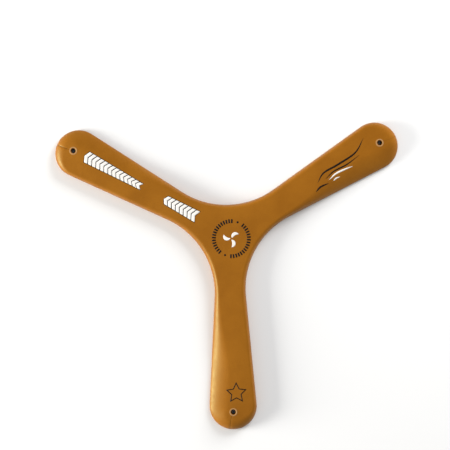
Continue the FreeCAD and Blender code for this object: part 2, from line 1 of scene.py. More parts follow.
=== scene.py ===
# %% [markdown]
# # A soft three-blade boomerang
#
# The toy is modelled as one foam moulding with a thin flexible core inside it and a few marks
# printed on its top face. The moulded shape comes from the engineering model, which is loaded as a fixed
# frame. This lesson builds the surface that a person sees and touches round that frame: the
# foam skin, the printing and the colours.
#
# The first cell loads the frame, and a small helper reads the outer box of any of its parts,
# from which some sizes below are taken.

# %% Load the fixed frame
import bmesh
import bpy
import math
from mathutils import Matrix, Vector, noise
from mathutils.bvhtree import BVHTree


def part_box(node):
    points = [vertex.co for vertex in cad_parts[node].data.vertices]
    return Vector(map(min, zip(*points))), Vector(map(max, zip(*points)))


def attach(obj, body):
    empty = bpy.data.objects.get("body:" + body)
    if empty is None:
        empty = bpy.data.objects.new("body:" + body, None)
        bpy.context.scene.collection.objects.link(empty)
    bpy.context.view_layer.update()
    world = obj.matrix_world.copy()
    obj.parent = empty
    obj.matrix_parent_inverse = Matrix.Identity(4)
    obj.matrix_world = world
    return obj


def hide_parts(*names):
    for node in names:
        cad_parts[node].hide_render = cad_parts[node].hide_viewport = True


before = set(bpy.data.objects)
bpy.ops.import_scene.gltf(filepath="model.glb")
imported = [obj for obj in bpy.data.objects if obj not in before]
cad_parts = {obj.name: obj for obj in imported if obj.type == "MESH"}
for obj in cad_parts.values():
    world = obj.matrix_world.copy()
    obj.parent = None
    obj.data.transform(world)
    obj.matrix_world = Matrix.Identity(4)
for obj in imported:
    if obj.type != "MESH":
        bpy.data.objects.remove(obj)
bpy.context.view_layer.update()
print("nodes:", sorted(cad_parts))

# %% [markdown]
# ## The sizes that the surface needs
#
# Blender works in metres here, and small products are easier to think about in millimetres, so
# one constant turns one into the other. The reach of the arms and the thickness of the body are
# read from the frame. The rest are the drawing's own numbers: radii of the outline, and how wide
# the rounded-off margin is at each place along the edge.

# %% Sizes
MM = 0.001
body_low, body_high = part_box("foam_body")
REACH = -body_low.y                     # hub centre to the end of an arm
THICK = body_high.z                     # underside to flat top
TIP_ROUND = 19.3 * MM                   # radius of an arm's rounded end
WEB_REACH = 25 * MM                     # hub centre to the nearest edge, between two arms
WEB_ROUND = 67 * MM                     # radius of the hollow curve between two arms
UNDER_ROUND = 1.6 * MM                  # rounding of the underside's edge
FOOT = 2.2 * MM                         # height at which the top's roll-off would be upright
ROLL_WEB = 3.9 * MM                     # width of the roll-off round the hub
ROLL_TRAIL = 15.4 * MM                  # ... where a trailing edge meets the rounded end
ROLL_END = 8.4 * MM                     # ... at the very end of an arm
ROLL_LEAD = 3.2 * MM                    # ... where a leading edge meets the rounded end
SWELL = (38 * MM, 122 * MM)             # where along an arm the trailing roll-off widens
PIN_REACH = REACH - 14.7 * MM           # hub centre to the pin hole in each arm
ARM_TURNS = {"star": -90, "stroke": 30, "marked": 150}      # bearing of each arm, in degrees
print(f"reach {REACH / MM:.1f} mm, thickness {THICK / MM:.1f} mm")

# %% [markdown]
# ## Camera
#
# A flat toy is best seen from straight above. A long lens a good way off keeps the outline free
# of perspective, so the three arms look equally long, as they are. The camera is turned by a
# degree or so and stands a little beside the hub's centre, because nobody lays a toy down
# perfectly square.

# %% Camera
VIEW_WIDE = 1.308 * (body_high.x - body_low.x)      # width of floor in view
CAMERA_HEIGHT = 1.6
CAMERA_TURN = math.radians(-1.5)
HUB_IN_VIEW = Vector((3.1 * MM, -8.4 * MM, 0))      # hub centre from the middle of the view
SENSOR = 36

lens = bpy.data.cameras.new("overhead")
lens.sensor_width = SENSOR
lens.lens = SENSOR * CAMERA_HEIGHT / VIEW_WIDE
lens.clip_end = 20
camera = bpy.data.objects.new("overhead", lens)
bpy.context.scene.collection.objects.link(camera)
turned = Matrix.Rotation(CAMERA_TURN, 3, "Z")
camera.rotation_euler = (0, 0, CAMERA_TURN)
camera.location = -(turned @ HUB_IN_VIEW) + Vector((0, 0, THICK + CAMERA_HEIGHT))
bpy.context.scene.camera = camera
print(f"lens {lens.lens:.0f} mm at {CAMERA_HEIGHT} m")

# %% [markdown]
# ## Floor and light
#
# A product table is a pale sheet in a bright white room, with two large soft lamps. The key lamp
# stands low on the left here, so it rakes across the top: faces that lean towards it glow, faces
# that lean away stay deep, and the shallow roll-off of each blade can be read. The fill comes
# from behind on the right, and lifts the far sides. Area lamps are used because their size is what makes
# a shadow soft.

# %% Floor
floor_sheet = bpy.data.meshes.new("pale_table")
FLOOR_HALF = 3.0                        # metres from the hub to the sheet's edges
corners = [(x * FLOOR_HALF, y * FLOOR_HALF, 0) for x, y in ((-1, -1), (1, -1), (1, 1), (-1, 1))]
floor_sheet.from_pydata(corners, [], [(0, 1, 2, 3)])
floor = bpy.data.objects.new("pale_table", floor_sheet)
bpy.context.scene.collection.objects.link(floor)

pale = bpy.data.materials.new("pale_table")
pale.use_nodes = True
table_shader = pale.node_tree.nodes["Principled BSDF"]
table_shader.inputs["Base Color"].default_value = (0.84, 0.84, 0.84, 1)
table_shader.inputs["Roughness"].default_value = 0.9
table_shader.inputs["Specular IOR Level"].default_value = 0.1
floor_sheet.materials.append(pale)


# %% Lamps
def soft_lamp(name, place, wide, watts, tint=(1, 1, 1)):
    """A square lamp that looks at the hub, and is not itself seen by the camera."""
    data = bpy.data.lights.new(name, "AREA")
    data.shape = "SQUARE"
    data.size = wide
    data.energy = watts
    data.color = tint
    lamp = bpy.data.objects.new(name, data)
    lamp.location = place
    lamp.rotation_euler = Vector(place).to_track_quat("Z", "Y").to_euler()
    lamp.visible_camera = False         # a camera that goes round the toy looks past the lamp
    bpy.context.scene.collection.objects.link(lamp)
    return lamp


soft_lamp("key", (-1.34, -0.16, 0.3), 0.6, 38, tint=(1, 0.985, 0.94))
fill = soft_lamp("fill", (0.75, 0.75, 0.5), 0.7, 15.5)
fill.visible_glossy = False             # it lights the far side but leaves no second highlight

surround = bpy.data.worlds.new("studio")
surround.use_nodes = True
surround.node_tree.nodes["Background"].inputs["Color"].default_value = (1, 1, 1, 1)
surround.node_tree.nodes["Background"].inputs["Strength"].default_value = 0.46
bpy.context.scene.world = surround
bpy.context.scene.view_settings.view_transform = "Standard"

# %% [markdown]
# ## The outline of the foam body
#
# Seen from above, each arm is bounded by one rounded end, two straight sides and two hollow
# curves that run into the next arms. All three arms are alike, and each is symmetrical about its
# own middle line, so only half an arm has to be worked out. Its points are kept in the arm's own
# coordinates: "along" points out from the hub and "aside" towards the leading edge.
#
# A curve object would draw this outline too, but a list of points can also say, for each point,
# which way is inwards and how wide the roll-off is, and the mesh is built from that.

# %% Half an outline
def ray(turn):
    """A unit vector at this bearing, in radians."""
    return Vector((math.cos(turn), math.sin(turn)))


TIP_CENTRE = Vector((REACH - TIP_ROUND, 0))
WEB_TURN = math.radians(60)             # the hollow curves lie half way to the next arm
WEB_CENTRE = ray(WEB_TURN) * (WEB_REACH + WEB_ROUND)
between = WEB_CENTRE - TIP_CENTRE
SIDE_TURN = (math.atan2(between.y, between.x)
             - math.acos((TIP_ROUND + WEB_ROUND) / between.length))
SIDE_OUT = ray(SIDE_TURN)               # the way out through the straight side
ROOT_JOINT = WEB_CENTRE - SIDE_OUT * WEB_ROUND
TIP_JOINT = TIP_CENTRE + SIDE_OUT * TIP_ROUND
WEB_STEPS, SIDE_STEPS, TIP_STEPS = 28, 58, 22


def web_and_side():
    """Places from the middle of a web to the rounded end: stretch, share of it, point, inwards."""
    places = []
    for number in range(WEB_STEPS):
        share = number / WEB_STEPS
        spoke = ray(math.pi + WEB_TURN + share * (SIDE_TURN - WEB_TURN))
        places.append(("web", share, WEB_CENTRE + spoke * WEB_ROUND, spoke))
    for number in range(SIDE_STEPS):
        share = number / SIDE_STEPS
        places.append(("side", share, ROOT_JOINT.lerp(TIP_JOINT, share), -SIDE_OUT))
    return places


print(f"half an arm: side leans {90 - math.degrees(SIDE_TURN):.1f} degrees, "
      f"{ROOT_JOINT.y * 2 / MM:.1f} mm wide at its root")

# %% [markdown]
# ## How wide the roll-off is
#
# A boomerang's blade is a wing. Its leading edge is blunt and its trailing edge is thin, so the
# flat top rolls off within a few millimetres in front and over most of a blade's width behind.
# One function gives that width for any place on the edge. The easing curve, level at both ends,
# makes it grow without a visible start or stop.

# %% Roll-off width
TRAILING, LEADING = -1, 1
END_HOLD = 0.3                          # the roll-off keeps its end width this far round


def eased(low, high, share):
    """A value between two others, level at both ends."""
    share = min(max(share, 0), 1)
    return low + (high - low) * (3 - 2 * share) * share ** 2


def roll_width(stretch, share, along, side):
    if stretch == "tip":                # share runs from the straight side to the very end
        if side == TRAILING:
            return eased(ROLL_TRAIL, ROLL_END, share)
        return eased(ROLL_LEAD, ROLL_END, share / (1 - END_HOLD))
    if side == TRAILING:
        return eased(ROLL_WEB, ROLL_TRAIL, (along - SWELL[0]) / (SWELL[1] - SWELL[0]))
    return ROLL_WEB + (ROLL_LEAD - ROLL_WEB) * share if stretch == "side" else ROLL_WEB


for mark in (40, 80, 120):
    print(f"{mark} mm out: trailing roll-off "
          f"{roll_width('side', 0, mark * MM, TRAILING) / MM:.1f} mm wide")

# %% [markdown]
# ## Knit lines
#
# Foam fills the mould from the hub. At each pin it parts, flows round and closes again behind,
# and a fine dark line stays in the skin from the pin hole out to the end of the arm. On the real
# body it is a shallow groove that wanders a little. It is made as real geometry: five columns of
# points close together, the middle ones pressed in, and the same points are painted darker as
# painted shade in the groove. The edge list below gets those columns where each arm's knit line
# comes out.

# %% The whole edge of one arm
# where it meets the rounded end, in degrees, and how strong it is
KNITS = {"star": (-10, 0.5), "stroke": (-7.5, 0.3), "marked": (6, 0.9)}
KNIT_COLUMNS = ((-0.52, 0), (-0.22, 0.45), (0, 1), (0.22, 0.45), (0.52, 0))   # mm aside, depth
KNIT_CLEAR = 1.1 * MM                   # ordinary columns keep this far off


def arm_edge(knit_turn, strength):
    """All places on one arm's edge, counter-clockwise: point, inwards, roll-off, knit depth."""
    places = []
    half_arm = web_and_side()
    mirror = Matrix(((1, 0), (0, -1)))
    for stretch, share, point, inward in half_arm:
        width = roll_width(stretch, share, point.x, TRAILING)
        places.append((mirror @ point, mirror @ inward, width, 0))
    columns = [(SIDE_TURN * n / TIP_STEPS, 0) for n in range(-TIP_STEPS, TIP_STEPS + 1)]
    columns = [c for c in columns if abs(c[0] - knit_turn) * TIP_ROUND > KNIT_CLEAR]
    columns += [(knit_turn + mm * MM / TIP_ROUND, depth * strength) for mm, depth in KNIT_COLUMNS]
    for turn, depth in sorted(columns):
        spoke = ray(turn)
        side = TRAILING if turn < 0 else LEADING
        width = roll_width("tip", 1 - abs(turn) / SIDE_TURN, 0, side)
        places.append((TIP_CENTRE + spoke * TIP_ROUND, -spoke, width, depth))
    for stretch, share, point, inward in reversed(half_arm):
        places.append((point, inward, roll_width(stretch, share, point.x, LEADING), 0))
    return places


print("columns round one arm:", len(arm_edge(0, 1)))

# %% [markdown]
# ## The section through the edge
#
# Going up from the underside, the skin turns through a small rounding, passes the parting line
# where the two halves of the mould met, and then follows a quarter of an oval up to the flat top.
# It is upright at the edge and level at the crest, so it joins both without a crease. The power
# in an oval's formula sets how full it is: an ellipse has 2, more than 2 is squarer, as on the
# blunt leading edge, and less is flatter, like the long bevel of the trailing edge. Steps of
# equal angle put the points where the curve bends most.
#
# The "flat" top is not quite flat: it is crowned by a fifth of a millimetre across each arm.

# %% Edge section
UNDER_STEPS, TOP_STEPS = 6, 15
PARTING = ((0, 1.7), (-0.1, 1.85), (-0.1, 2.0), (0, 2.1))       # mm inwards, mm up
KNIT_DEEP = 0.3 * MM
CROWN = 0.2 * MM                        # the middle of an arm stands this much above its margins
BLUNT, BEVELLED = 2.4, 1.45             # the oval's power on the narrowest and widest roll-off


def edge_section(width, knit):
    """(inwards, up) from the underside to the flat top; a knit line presses it in."""
    rows = []
    for number in range(UNDER_STEPS + 1):
        turn = math.pi / 2 * number / UNDER_STEPS
        rows.append((UNDER_ROUND * (1 - math.sin(turn)), UNDER_ROUND * (1 - math.cos(turn))))
    rows += [(into * MM + knit * KNIT_DEEP / 2, up * MM) for into, up in PARTING]
    high = THICK - CROWN - FOOT
    power = eased(BLUNT, BEVELLED, (width - ROLL_LEAD) / (ROLL_TRAIL - ROLL_LEAD))
    for number in range(TOP_STEPS + 1):
        turn = math.pi / 2 * number / TOP_STEPS
        outward, upward = abs(math.cos(turn)) ** (2 / power), math.sin(turn) ** (2 / power)
        facing = Vector((width * upward, high * outward)).normalized()
        rows.append((width * (1 - outward) + knit * KNIT_DEEP * facing.y,
                     FOOT + high * upward - knit * KNIT_DEEP * facing.x))
    return rows


print("rows in a section:", len(edge_section(ROLL_WEB, 0)))

# %% [markdown]
# ## Sheets of quads
#
# The body is assembled from a few sheets of four-sided faces: one that wraps round the edge, and
# others that fill the flat top and the flat underside. Four-sided faces in neat rows shade
# smoothly and can be edited later. Each sheet is a list of rows of points, and one function sews
# any such list into faces. Where two sheets share a border they make the same points twice, and
# those are merged afterwards.

# %% Sewing rows into faces
def sew(bm, rows, painted_shade_and_pale, closed=False):
    """Faces between neighbouring rows of 3-D points, with one number of painted shade for each point;
    below 0 the point is painted paler.
    """
    layer = bm.verts.layers.float["painted_shade_and_pale"]
    sewn = []
    for points, shade_level in zip(rows, painted_shade_and_pale):
        made = [bm.verts.new(point) for point in points]
        for vert, amount in zip(made, shade_level):
            vert[layer] = amount
        sewn.append(made)
    for first, second in zip(sewn, sewn[1:]):
        count = len(first) if closed else len(first) - 1
        for n in range(count):
            after = (n + 1) % len(first)
            bm.faces.new((first[n], first[after], second[after], second[n]))


def unshaded(rows):
    """No painted shade on any of these points."""
    return [[0.0] * len(points) for points in rows]


# %% [markdown]
# ## One arm
#
# Inside the edge sheet, the top and the underside are filled the same way. Rungs run straight
# across the arm from one side to the other. Near the hub they bend, and the last one is a V whose
# point is the hub's centre, so that three arms close up like slices of a cake. Round the pin hole
# the faces run in rings instead, because rings follow a round hole and a dished lip cleanly: they
# start at the arm's end, close in on the hole, go down through it and spread out again below.

# %% Rungs across the arm
ACROSS = 24                             # faces across an arm
LAST_RUNG = WEB_STEPS + 52              # number of the column where the rings take over
BENT_RUNGS = 46                         # rungs that bend towards the hub


def rung(ends, number):
    """Points of one rung, from the trailing to the leading side."""
    trail, lead = ends
    straight_middle = (trail + lead) / 2
    bend = max(0, 1 - number / BENT_RUNGS) ** 2
    points = []
    for step in range(ACROSS + 1):
        share = step / ACROSS
        peak = bend * (1 - abs(2 * share - 1)) + (1 - bend) * 4 * share * (1 - share)
        points.append(trail.lerp(lead, share) - straight_middle * bend * peak)
    return points


def rungs(inner):
    """All rungs between the two sides of an inner outline."""
    return [rung((inner[n], inner[-1 - n]), n) for n in range(LAST_RUNG + 1)]


def crowned(share):
    """Height of the top at this share of the way across an arm."""
    return THICK - CROWN * (1 - 4 * share * (1 - share))


# %% The pin hole
PIN_RINGS = 7
CROWDING = 1.3                          # above 1, the rings crowd towards the hole
PIN_CENTRE = Vector((PIN_REACH, 0))
# radius and height of each ring, mm: a low bead, the hole below it, and a wider place where the
# core shows in its wall
LIP = ((3.5, 10), (3.2, 10.04), (2.95, 10.16), (2.65, 10.2), (2.35, 10.08), (2.1, 9.8),
       (1.9, 9.3), (1.8, 8.6), (1.8, 6.45), (1.95, 6.3), (1.95, 4.6), (1.8, 4.45), (1.8, 0.35),
       (1.88, 0.12), (2.1, 0))
LIP_SHADE_AND_PALE = (0, -0.2, -0.5, -0.6, -0.4, 0.2, 0.8, 1, 1, 1, 1, 1, 1, 0.6, 0.2)   # below 0: paler on the bead; above 0: painted shade, strongest down the hole


def round_the_pin(inner, rung_points):
    """The closed outline that the rings start from: the arm's end and the last rung."""
    return inner[LAST_RUNG:len(inner) - LAST_RUNG] + rung_points[-2:0:-1]


def pin_rows(top_loop, low_loop, heights, knit):
    """Rings of 3-D points from the flat top, through the hole, to the underside."""
    spokes = [(point - PIN_CENTRE).normalized() for point in top_loop]
    lip_radius = LIP[0][0] * MM
    rows, painted_shade_and_pale = [], []
    for ring in range(PIN_RINGS):
        share = 1 - (1 - ring / PIN_RINGS) ** CROWDING
        rows.append([(*point.lerp(PIN_CENTRE + spoke * lip_radius, share),
                      height + (THICK - height) * share - depth * KNIT_DEEP)
                     for point, spoke, height, depth in zip(top_loop, spokes, heights, knit)])
        painted_shade_and_pale.append(list(knit))
    # painted shade down the hole and a paler bead, ring by ring from the table above; the knit line's
    # painted shade runs out in the lip
    for number, ((radius, up), shade_level) in enumerate(zip(LIP, LIP_SHADE_AND_PALE)):
        cut = max(0, 1 - number / 4)    # the knit line runs out in the lip
        rows.append([(*(PIN_CENTRE + spoke * radius * MM), up * MM - depth * KNIT_DEEP * cut)
                     for spoke, depth in zip(spokes, knit)])
        painted_shade_and_pale.append([shade_level + depth * cut for depth in knit])
    for ring in range(1, PIN_RINGS + 1):
        share = (ring / PIN_RINGS) ** CROWDING
        rows.append([(*(PIN_CENTRE + spoke * LIP[-1][0] * MM).lerp(point, share), 0)
                     for point, spoke in zip(low_loop, spokes)])
        painted_shade_and_pale.append([0.0] * len(low_loop))
    return rows, painted_shade_and_pale


# %% [markdown]
# ## Thinning towards the tip
#
# Each arm is made a little thinner towards its end, as the blades of such toys often are. How much
# is an estimate. A sheet built flat and then pressed into shape point by point is simpler than one
# built thin, and scaling its heights leaves the underside on the table.

# %% Pressing an arm thinner
THIN_FROM, THIN_BY = 80 * MM, 1.2 * MM  # where an arm starts to thin, and by how much in all


def pressed(place):
    """A point of an arm, in the arm's own coordinates, after pressing."""
    beyond = max(place.x - THIN_FROM, 0) / (REACH - THIN_FROM)
    return Vector((place.x, place.y, place.z * (1 - beyond ** 2 * THIN_BY / THICK)))


print(f"top at the pin hole: {pressed(Vector((*PIN_CENTRE, THICK))).z / MM:.2f} mm")

# %% One arm from its sheets
KNIT_WANDER = 0.2 * MM
WANDER_LONG = 2.2                       # mm over which a knit line's wander changes


def add_arm(bm, name):
    """All sheets of one arm, in the arm's own coordinates, then turned into place."""
    start = len(bm.verts)
    knit_degrees, strength = KNITS[name]
    edge = arm_edge(math.radians(knit_degrees), strength)
    columns, painted_shade_and_pale = [], []
    for point, inward, width, knit in edge:
        tangent = Vector((-inward.y, inward.x))
        column = []
        for into, up in edge_section(width, knit):
            place = point + inward * into
            if knit:
                wander = noise.noise((into / MM / WANDER_LONG, ARM_TURNS[name], 0)) * KNIT_WANDER
                place = place + tangent * wander
            column.append((*place, up))
        columns.append(column)
        # from the parting line up, the knit columns are painted darker: painted shade in the groove
        painted_shade_and_pale.append([0.0] * (UNDER_STEPS + 1) + [knit] * (len(column) - UNDER_STEPS - 1))
    rows = [list(points) for points in zip(*columns)]
    sew(bm, rows, [list(shade_level) for shade_level in zip(*painted_shade_and_pale)])
    top = [Vector(column[-1][:2]) for column in columns]
    low = [Vector(column[0][:2]) for column in columns]
    top_rungs, low_rungs = rungs(top), rungs(low)
    top_points = [[(*point, crowned(step / ACROSS)) for step, point in enumerate(line)]
                  for line in top_rungs]
    low_points = [[(*point, 0) for point in reversed(line)] for line in low_rungs]
    for sheet_rows in ([line[::-1] for line in top_points], [line[::-1] for line in low_points]):
        sew(bm, sheet_rows, unshaded(sheet_rows))
    top_loop = round_the_pin(top, top_rungs[-1])
    low_loop = round_the_pin(low, low_rungs[-1])
    knit = [place[3] for place in edge[LAST_RUNG:len(edge) - LAST_RUNG]]
    heights = [crowned(0)] * len(knit)
    knit += [0] * (len(top_loop) - len(knit))
    heights += [crowned(step / ACROSS) for step in range(ACROSS - 1, 0, -1)]
    sew(bm, *pin_rows(top_loop, low_loop, heights, knit), closed=True)
    bm.verts.ensure_lookup_table()
    turn = Matrix.Rotation(math.radians(ARM_TURNS[name]), 3, "Z")
    for vert in bm.verts[start:]:
        vert.co = turn @ pressed(vert.co)


skin = bmesh.new()
skin.verts.layers.float.new("painted_shade_and_pale")
for arm in ARM_TURNS:
    add_arm(skin, arm)
doubled = len(skin.verts)
bmesh.ops.remove_doubles(skin, verts=skin.verts, dist=2e-6)
print(f"{len(skin.faces)} faces, {doubled - len(skin.verts)} doubled points merged, "
      f"{sum(e.is_boundary for e in skin.edges)} open edges")

# %% [markdown]
# ## The slight waviness of moulded foam
#
# No foam skin is as flat as its mould: it shrinks unevenly as it cools, by less than a tenth of a
# millimetre. In raking light that is enough to make a highlight swim. Smooth noise moves each
# point along its own normal, and fades out towards the underside, which has to stay flat on the
# table.

# %% Waviness and the finished body object
WAVE = 0.055 * MM
WAVE_LONG = 17 * MM
WAVE_FULL = 3 * MM                      # height from which the skin has its full waviness

skin.normal_update()
for vert in skin.verts:
    height = min(vert.co.z / WAVE_FULL, 1)
    vert.co += vert.normal * noise.noise(vert.co / WAVE_LONG) * WAVE * height
body_mesh = bpy.data.meshes.new("foam_body_skin")
skin.to_mesh(body_mesh)
for face in body_mesh.polygons:
    face.use_smooth = True
foam_body = bpy.data.objects.new("foam_body_skin", body_mesh)
bpy.context.scene.collection.objects.link(foam_body)
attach(foam_body, "root")
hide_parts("foam_body")
top_of_foam = BVHTree.FromBMesh(skin)
print(f"volume {skin.calc_volume() / MM ** 3 / 1000:.1f} cm3")
skin.free()


# %% [markdown]
# ## Nodes with fewer words
#
# Every finish below is a small net of shader nodes. Writing nodes.new and links.new over and over
# hides what a net does, so two helpers make a node with its settings in one line and start a
# material. Patterns are placed by object coordinates, in metres, so a scale of 1000 makes
# features about a millimetre across.

# %% Helpers for finishes
class Finish:
    """A material and a short way to add nodes to it."""

    def __init__(self, name, specular, tint=(1, 1, 1, 1)):
        self.material = bpy.data.materials.new(name)
        self.material.use_nodes = True
        self.tree = self.material.node_tree
        self.shader = self.tree.nodes["Principled BSDF"]
        self.shader.inputs["Specular IOR Level"].default_value = specular
        self.shader.inputs["Specular Tint"].default_value = tint
        self.place = self.add("ShaderNodeTexCoord").outputs["Object"]

    def add(self, kind, links=(), **settings):
        """A node; settings are its own properties, links pairs of input and value or output."""
        node = self.tree.nodes.new(kind)
        for key, value in settings.items():
            setattr(node, key, value)
        for socket, value in links:
            if isinstance(value, bpy.types.NodeSocket):
                self.tree.links.new(value, node.inputs[socket])
            else:
                node.inputs[socket].default_value = value
        return node

    def noise(self, scale, detail, rough=0.5):
        return self.add("ShaderNodeTexNoise", (("Vector", self.place), ("Scale", scale),
                        ("Detail", detail), ("Roughness", rough))).outputs["Fac"]

    def stretch(self, value, low, high, to_low, to_high):
        """A pattern's values from low to high become to_low to to_high."""
        return self.add("ShaderNodeMapRange", (("Value", value), ("From Min", low),
                        ("From Max", high), ("To Min", to_low), ("To Max", to_high))).outputs[0]

    def mix(self, share, first, second, blend="MIX"):
        """Two colours mixed; in the node, sockets 6 and 7 are the colours and output 2 the mix."""
        return self.add("ShaderNodeMix", ((0, share), (6, first), (7, second)),
                        data_type="RGBA", blend_type=blend).outputs[2]

    def bump(self, height, strength, distance, under=None):
        links = [("Height", height), ("Strength", strength), ("Distance", distance)]
        if under:
            links.append(("Normal", under))
        return self.add("ShaderNodeBump", links).outputs[0]

    def wire(self, **outputs):
        """Plug outputs into the shader."""
        for socket, value in outputs.items():
            self.tree.links.new(value, self.shader.inputs[socket.replace("_", " ")])


# %% [markdown]
# ## Foam skin
#
# Integral-skin foam is dense and closed on the outside. Its finish is satin and faintly leathery,
# because the mould was textured, and its pigment is a little uneven: broad cloudy patches and
# fine flecks. The knit lines and the inside of each pin hole are painted darker, as painted shade
# in the grooves and the holes, and the low bead round each hole is painted paler; the mesh holds
# the amount as one number for each point.

# %% Foam skin finish
foam = Finish("satin_foam_skin", specular=0.42, tint=(0.9, 1, 0.42, 1))
OCHRE_DEEP = (0.250, 0.082, 0.0030, 1)
OCHRE_LIGHT = (0.290, 0.100, 0.0048, 1)
FLECK = (0.80, 0.74, 0.66, 1)
WHITE = (1, 1, 1, 1)
# painted shade colour, for the knit grooves and the pin holes
SHADE_COLOUR = (0.035, 0.012, 0.004, 1)
# paler colour for the bead round each pin hole
PALE_BEAD = (0.50, 0.32, 0.17, 1)

clouds = foam.stretch(foam.noise(34, 4, 0.6), 0.36, 0.64, 0, 1)
ochre = foam.mix(clouds, OCHRE_DEEP, OCHRE_LIGHT)
flecks = foam.stretch(foam.noise(900, 5, 0.65), 0.52, 0.72, 0, 0.5)
ochre = foam.mix(flecks, ochre, foam.mix(1.0, ochre, FLECK, "MULTIPLY"))
# painted shade: darker in the knit grooves and down the pin holes, broken up by noise
painted_shade_and_pale = foam.add("ShaderNodeAttribute", attribute_name="painted_shade_and_pale").outputs["Fac"]
broken_shade = foam.stretch(foam.noise(600, 3), 0.25, 0.6, 0.55, 0.95)
shade_share = foam.add("ShaderNodeMath", ((0, painted_shade_and_pale), (1, broken_shade)),
                       operation="MULTIPLY").outputs[0]
ochre = foam.mix(shade_share, ochre, SHADE_COLOUR)
# where the number is below 0, the bead round each pin hole is painted paler
ochre = foam.mix(foam.stretch(painted_shade_and_pale, 0, -1, 0, 1), ochre, PALE_BEAD)

leather = foam.add("ShaderNodeTexVoronoi", (("Vector", foam.place), ("Scale", 1150.0),
                   ("Smoothness", 0.6)), feature="SMOOTH_F1").outputs["Distance"]
grain = foam.bump(leather, 0.28, 0.12 * MM)
grain = foam.bump(foam.noise(3800, 4, 0.6), 0.16, 0.06 * MM, under=grain)
satin = foam.stretch(foam.noise(420, 4), 0.3, 0.7, 0.42, 0.54)
foam.wire(Base_Color=ochre, Roughness=satin, Normal=grain)
body_mesh.materials.append(foam.material)

# %% [markdown]
# ## The core
#
# A thin spider of flexible plastic is taken to be moulded into the foam. All that shows of it
# here is a narrow ring in the wall of each pin hole. Its own solid from the frame already has
# the right shape, so it stays and only gets a finish: dark plastic with a fine moulded grain.

# %% Core finish
core_plastic = Finish("moulded_core_plastic", specular=0.45)
cloud = core_plastic.noise(120, 3)
tone = core_plastic.mix(cloud, (0.045, 0.045, 0.048, 1), (0.075, 0.073, 0.075, 1))
core_plastic.wire(
    Base_Color=tone,
    Roughness=core_plastic.stretch(cloud, 0.3, 0.7, 0.45, 0.6),
    Normal=core_plastic.bump(core_plastic.noise(2500, 3), 0.2, 0.05 * MM),
)
core_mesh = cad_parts["stiffening_core"].data
core_mesh.materials.clear()
core_mesh.materials.append(core_plastic.material)

# %% [markdown]
# ## Printed ink
#
# The marks are pad-printed: a film of ink a few hundredths of a millimetre thick, pressed onto
# the skin so that it follows the roll-off. An image on the surface could show them, but as thin
# pieces they have a real edge and can be swapped or left out. Each is first laid out flat as
# small quads, then every point drops onto the foam, and a Solidify modifier gives it thickness.
# Ink creeps, so the borders wander by a few hundredths of a millimetre.

# %% Laying a print on the foam
INK_ABOVE = 0.045 * MM                  # top of the film above the skin
INK_THICK = 0.08 * MM                   # the film's lower face lies just inside the skin
CREEP = 0.05 * MM
CREEP_LONG = 0.9 * MM                   # distance over which the creep changes
noise.seed_set(5)                       # fixes the creep, which otherwise differs on every run
CELL = 0.8 * MM                         # size of a film's faces


def on_arm(name):
    """A function that turns a place on this arm into a place on the body."""
    out = ray(math.radians(ARM_TURNS[name]))
    aside = Vector((-out.y, out.x))
    return lambda along, across: out * along + aside * across


def add_patch(bm, corner_at, sizes):
    """A patch of film; corner_at(a, b) gives its points for a and b from 0 to 1."""
    steps = [max(1, math.ceil(length / CELL)) for length in sizes]
    rows = []
    for a in range(steps[0] + 1):
        rows.append([bm.verts.new((*corner_at(a / steps[0], b / steps[1]), 0))
                     for b in range(steps[1] + 1)])
    for first, second in zip(rows, rows[1:]):
        for n in range(len(first) - 1):
            bm.faces.new((first[n], first[n + 1], second[n + 1], second[n]))


def print_piece(name, node, finish, bm, above=INK_ABOVE):
    """Drop flat patches onto the foam and make them a piece that stands for a CAD node."""
    bmesh.ops.remove_doubles(bm, verts=bm.verts, dist=1e-5)
    for vert in bm.verts:
        if vert.is_boundary:
            creep = noise.noise_vector(vert.co / CREEP_LONG) * CREEP
            vert.co.x += creep.x
            vert.co.y += creep.y
    for vert in bm.verts:
        hit = top_of_foam.ray_cast(vert.co + Vector((0, 0, 5 * THICK)), Vector((0, 0, -1)))[0]
        vert.co.z = hit.z + above
    bm.normal_update()
    for face in bm.faces:
        if face.normal.z < 0:
            face.normal_flip()
    mesh = bpy.data.meshes.new(name)
    bm.to_mesh(mesh)
    bm.free()
    for face in mesh.polygons:
        face.use_smooth = True
    piece = bpy.data.objects.new(name, mesh)
    bpy.context.scene.collection.objects.link(piece)
    film = piece.modifiers.new("film", "SOLIDIFY")
    film.thickness = INK_THICK
    film.offset = -1
    mesh.materials.append(finish.material)
    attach(piece, "root")
    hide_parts(node)
    print(f"{name}: {len(mesh.polygons)} faces")
    return piece


# %% [markdown]
# ## Ink finishes
#
# White and black ink share one net. Pad-printed ink never covers perfectly: here and there a
# pinhole lets the foam's colour through, and the grain of the skin shows in its surface. The net
# mixes the ink with the foam's ochre where a fine noise is strongest.

# %% White and black ink
def ink_finish(name, colour, foam_share):
    ink = Finish(name, specular=0.15)
    uneven = ink.mix(ink.noise(260, 4), colour, foam_share)
    pinholes = ink.stretch(ink.noise(1500, 4, 0.6), 0.66, 0.72, 0, 0.85)
    ink.wire(
        Base_Color=ink.mix(pinholes, uneven, OCHRE_DEEP),
        Roughness=ink.stretch(ink.noise(500, 3), 0.3, 0.7, 0.5, 0.66),
        Normal=ink.bump(ink.noise(1300, 3), 0.12, 0.05 * MM),
    )
    return ink


white_ink = ink_finish("printed_white", (0.80, 0.79, 0.77, 1), (0.72, 0.69, 0.64, 1))
black_ink = ink_finish("printed_black", (0.006, 0.004, 0.003, 1), (0.015, 0.009, 0.006, 1))

